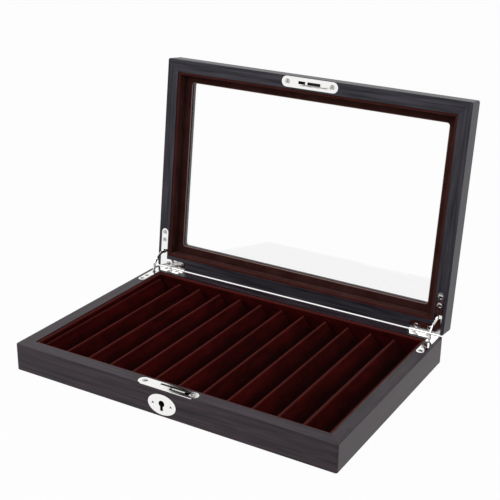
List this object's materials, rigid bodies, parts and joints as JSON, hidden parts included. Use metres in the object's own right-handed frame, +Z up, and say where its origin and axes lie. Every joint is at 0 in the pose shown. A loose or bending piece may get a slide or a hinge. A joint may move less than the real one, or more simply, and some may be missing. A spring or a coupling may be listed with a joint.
{
  "type": "pen display chest",
  "caption": "Shallow wooden pen chest with a glazed hinged lid on quadrant stays, a mortise lock and a velvet tray of ridged slots for pens.",
  "frame": {"origin": "centre of the felt face that the chest stands on", "axes": "+X to the right along the front, +Y to the hinged back, +Z up"},
  "size_m": [0.34, 0.2774, 0.2571],
  "materials": {
    "black_wood": "satin",
    "pale_wood": "matte",
    "velvet": "soft pile",
    "felt": "matte",
    "board": "matte",
    "clear_glass": "polished",
    "nickel": "polished",
    "lock_steel": "satin"
  },
  "bodies": {
    "base": {"base_front_rail": "black_wood", "base_back_rail": "black_wood", "base_left_rail": "black_wood", "base_right_rail": "black_wood", "base_bottom_panel": "pale_wood", "base_felt": "felt", "base_liner_front": "velvet", "base_liner_back": "velvet", "base_liner_left": "velvet", "base_liner_right": "velvet", "tray_board": "board", "pen_ridge_01": "board", "pen_ridge_02": "board", "pen_ridge_03": "board", "pen_ridge_04": "board", "pen_ridge_05": "board", "pen_ridge_06": "board", "pen_ridge_07": "board", "pen_ridge_08": "board", "pen_ridge_09": "board", "pen_ridge_10": "board", "pen_ridge_11": "board", "end_ridge_left": "board", "end_ridge_right": "board", "tray_velvet": "velvet", "hinge_base_leaf_left": "nickel", "hinge_base_leaf_right": "nickel", "hinge_pin_left": "nickel", "hinge_pin_right": "nickel", "hinge_base_screws_left": "nickel", "hinge_base_screws_right": "nickel", "lock_plate": "nickel", "lock_case": "lock_steel", "lock_cover": "lock_steel", "lock_posts": "lock_steel", "bolt_spring": "lock_steel", "lock_screws": "nickel", "escutcheon": "nickel", "escutcheon_nails": "nickel"},
    "lid": {"lid_front_rail": "black_wood", "lid_back_rail": "black_wood", "lid_left_rail": "black_wood", "lid_right_rail": "black_wood", "lid_top_panel": "black_wood", "lid_inner_frame": "velvet", "glass_pane": "clear_glass", "lid_liner_front": "velvet", "lid_liner_back": "velvet", "lid_liner_left": "velvet", "lid_liner_right": "velvet", "hinge_lid_leaf_left": "nickel", "hinge_lid_leaf_right": "nickel", "hinge_lid_screws_left": "nickel", "hinge_lid_screws_right": "nickel", "strike_plate": "nickel", "strike_screws": "nickel"},
    "stay_arm_left": {"stay_arm_left": "nickel"},
    "stay_arm_right": {"stay_arm_right": "nickel"},
    "lock_bolt": {"lock_bolt": "lock_steel"}
  },
  "joints": [
    {"name": "lid_hinge", "type": "hinge", "parent": "base", "child": "lid", "pos_m": [0, 0.1155, 0.02815], "axis": [1, 0, 0], "range_deg": [0, 96.5]},
    {"name": "stay_arm_left_swing", "type": "hinge", "parent": "base", "child": "stay_arm_left", "pos_m": [0, 0.1155, 0.02815], "axis": [1, 0, 0], "range_deg": [0, 48.25]},
    {"name": "stay_arm_right_swing", "type": "hinge", "parent": "base", "child": "stay_arm_right", "pos_m": [0, 0.1155, 0.02815], "axis": [1, 0, 0], "range_deg": [0, 48.25]},
    {"name": "bolt_slide", "type": "slide", "parent": "base", "child": "lock_bolt", "axis": [1, 0, 0], "range_m": [0, 0.0045]}
  ],
  "couplings": [
    {"joint": "stay_arm_left_swing", "follows": "lid_hinge", "ratio": 0.5},
    {"joint": "stay_arm_right_swing", "follows": "lid_hinge", "ratio": 0.5}
  ]
}
